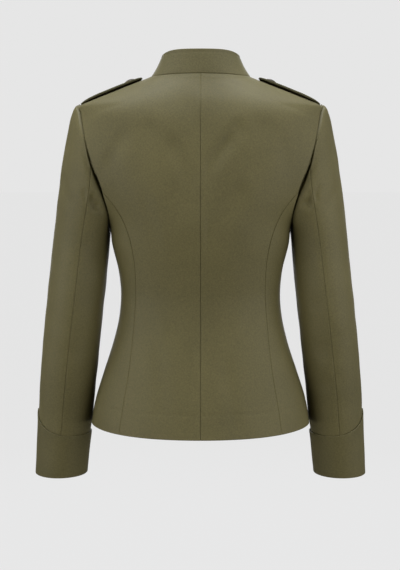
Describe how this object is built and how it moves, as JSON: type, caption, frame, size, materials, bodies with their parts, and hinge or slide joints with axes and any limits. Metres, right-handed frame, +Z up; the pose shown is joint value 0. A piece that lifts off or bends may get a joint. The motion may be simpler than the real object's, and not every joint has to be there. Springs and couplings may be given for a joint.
{
  "type": "military jacket",
  "caption": "Short fitted stand-collar jacket of military cut with princess seams, two-piece sleeves, shaped cuffs and epaulettes, filled out as it is worn.",
  "frame": {"origin": "between the shoulders, on the centre plane, level with the neck seam at its sides, where the wearer carries the jacket", "axes": "+Z up, -Y towards the wearer's front, +X towards the wearer's left"},
  "size_m": [0.5648, 0.2538, 0.7053],
  "materials": {
    "cloth": "satin",
    "horn": "satin"
  },
  "bodies": {
    "root": {"back_left": "cloth", "back_right": "cloth", "side_left": "cloth", "side_right": "cloth", "front_left": "cloth", "front_right": "cloth", "collar": "cloth", "upper_sleeve_left": "cloth", "upper_sleeve_right": "cloth", "under_sleeve_left": "cloth", "under_sleeve_right": "cloth", "cuff_left": "cloth", "cuff_right": "cloth", "epaulette_left": "cloth", "epaulette_right": "cloth", "epaulette_button_left": "horn", "epaulette_button_right": "horn", "front_button_1": "horn", "front_button_2": "horn", "front_button_3": "horn", "front_button_4": "horn", "front_button_5": "horn", "front_button_6": "horn"}
  },
  "joints": []
}
